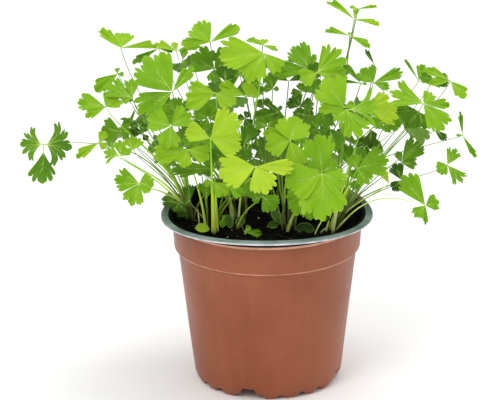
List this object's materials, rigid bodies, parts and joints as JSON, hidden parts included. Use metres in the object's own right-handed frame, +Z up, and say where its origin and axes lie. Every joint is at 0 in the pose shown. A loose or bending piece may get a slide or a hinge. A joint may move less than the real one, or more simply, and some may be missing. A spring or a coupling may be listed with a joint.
{
  "type": "potted herb plant",
  "caption": "Young flat-leaf parsley growing in a round terracotta-coloured plastic nursery pot filled with compost.",
  "frame": {"origin": "centre of the flat pad under the pot, where it meets the ground", "axes": "+Z up along the pot's axis, +X along the plant's widest spread, -Y towards the front of the plant"},
  "size_m": [0.2803, 0.1773, 0.2398],
  "materials": {
    "pot_plastic": "satin terracotta outside, dark green inside",
    "compost": "dark moist fibrous peat",
    "stalk": "smooth light yellow-green",
    "leaf": "semi-matt fresh green, veined"
  },
  "bodies": {
    "root": {"pot": "pot_plastic", "soil": "compost", "stalks_01": "stalk", "stalks_02": "stalk", "stalks_03": "stalk", "stalks_04": "stalk", "stalks_05": "stalk", "stalks_06": "stalk", "stalks_07": "stalk", "stalks_08": "stalk", "stalks_09": "stalk", "stalks_10": "stalk", "leaf_01": "leaf", "leaf_02": "leaf", "leaf_03": "leaf", "leaf_04": "leaf", "leaf_05": "leaf", "leaf_06": "leaf", "leaf_07": "leaf", "leaf_08": "leaf", "leaf_09": "leaf", "leaf_10": "leaf", "leaf_11": "leaf", "leaf_12": "leaf", "leaf_13": "leaf", "leaf_14": "leaf", "leaf_15": "leaf", "leaf_16": "leaf", "leaf_17": "leaf", "leaf_18": "leaf", "leaf_19": "leaf", "leaf_20": "leaf", "leaf_21": "leaf", "leaf_22": "leaf", "leaf_23": "leaf", "leaf_24": "leaf", "leaf_25": "leaf", "leaf_26": "leaf", "leaf_27": "leaf", "leaf_28": "leaf", "leaf_29": "leaf", "leaf_30": "leaf", "leaf_31": "leaf", "leaf_32": "leaf", "leaf_33": "leaf", "leaf_34": "leaf", "leaf_35": "leaf", "leaf_36": "leaf", "leaf_37": "leaf", "leaf_38": "leaf", "leaf_39": "leaf", "leaf_40": "leaf", "leaf_41": "leaf", "leaf_42": "leaf", "leaf_43": "leaf", "leaf_44": "leaf", "leaf_45": "leaf", "leaf_46": "leaf", "leaf_47": "leaf", "leaf_48": "leaf"}
  },
  "joints": []
}
